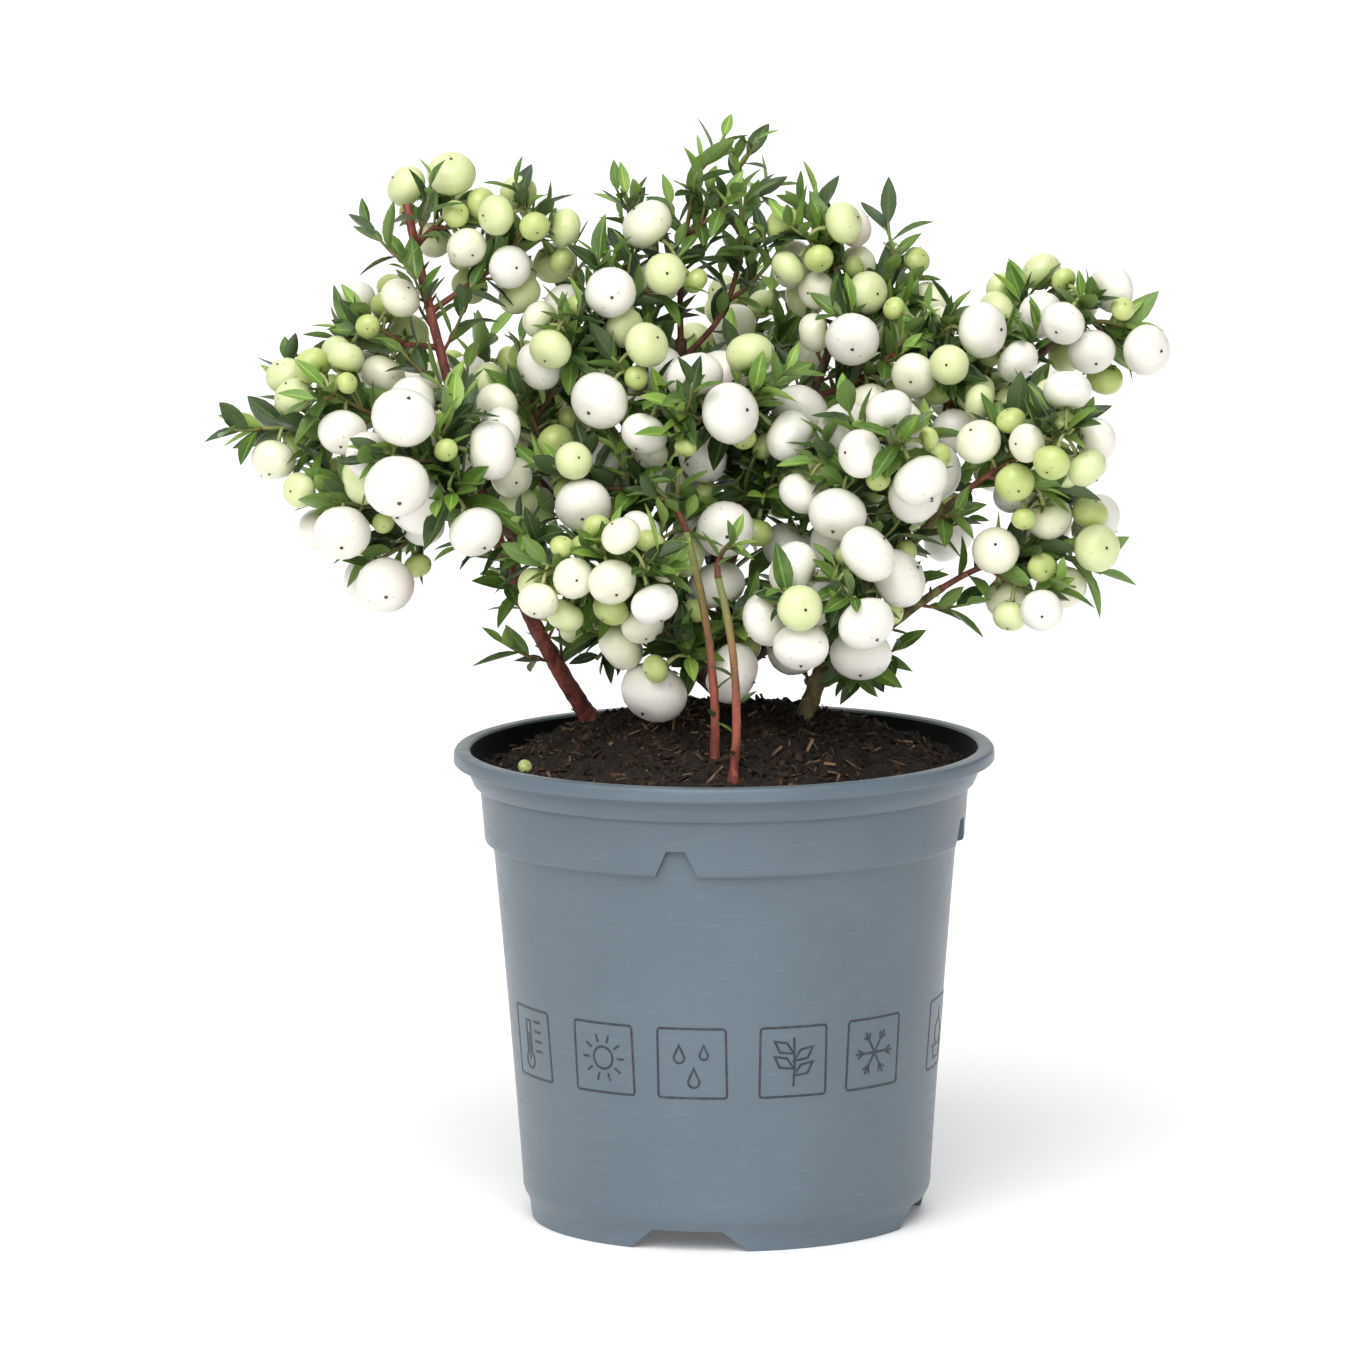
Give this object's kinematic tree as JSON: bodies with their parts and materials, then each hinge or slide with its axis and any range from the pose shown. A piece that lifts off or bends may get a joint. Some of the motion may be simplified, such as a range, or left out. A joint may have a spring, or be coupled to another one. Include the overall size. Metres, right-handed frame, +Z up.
{
  "type": "potted prickly heath",
  "caption": "Small evergreen heath shrub with pale dimpled berries and pointed leaves, in a round tapered plastic nursery pot filled with peat.",
  "frame": {"origin": "middle of the bounding box in plan, at the plane that the pot stands on", "axes": "+Z up, -Y towards the viewer of the picture, +X to the right of the picture"},
  "size_m": [0.211, 0.1574, 0.246],
  "materials": {
    "pot_plastic": "satin",
    "peat": "matte",
    "bark": "matte",
    "foliage": "satin"
  },
  "bodies": {
    "root": {"pot": "pot_plastic", "peat": "peat", "stem_left": "bark", "stem_centre": "bark", "stem_right": "bark", "stem_front_left": "bark", "stem_front_right": "bark", "bough_left_upper": "bark", "bough_left_front": "bark", "bough_left_inner": "bark", "bough_top": "bark", "bough_top_right": "bark", "bough_right": "bark", "bough_right_middle": "bark", "bough_right_low": "bark", "bough_back_left": "bark", "bough_back": "bark", "bough_back_right": "bark", "spray_far_left": "foliage", "spray_left_upper": "foliage", "spray_left_front": "foliage", "spray_left_low": "foliage", "spray_top_left": "foliage", "spray_top_left_inner": "foliage", "spray_left_inner": "foliage", "spray_left_inner_low": "foliage", "spray_top": "foliage", "spray_top_back": "foliage", "spray_top_shoot_left": "foliage", "spray_top_right": "foliage", "spray_top_right_outer": "foliage", "spray_right_upper": "foliage", "spray_right_upper_outer": "foliage", "spray_far_right": "foliage", "spray_far_right_top": "foliage", "spray_right_middle": "foliage", "spray_right_inner": "foliage", "spray_centre": "foliage", "spray_centre_left": "foliage", "spray_right_low": "foliage", "spray_front_right": "foliage", "spray_front_left": "foliage", "spray_front_shoot": "foliage", "spray_front_shoot_low": "foliage", "spray_left_behind": "foliage", "spray_back_left": "foliage", "spray_back_left_low": "foliage", "spray_back": "foliage", "spray_back_upper": "foliage", "spray_back_right": "foliage", "spray_back_right_low": "foliage", "spray_back_right_upper": "foliage"}
  },
  "joints": []
}
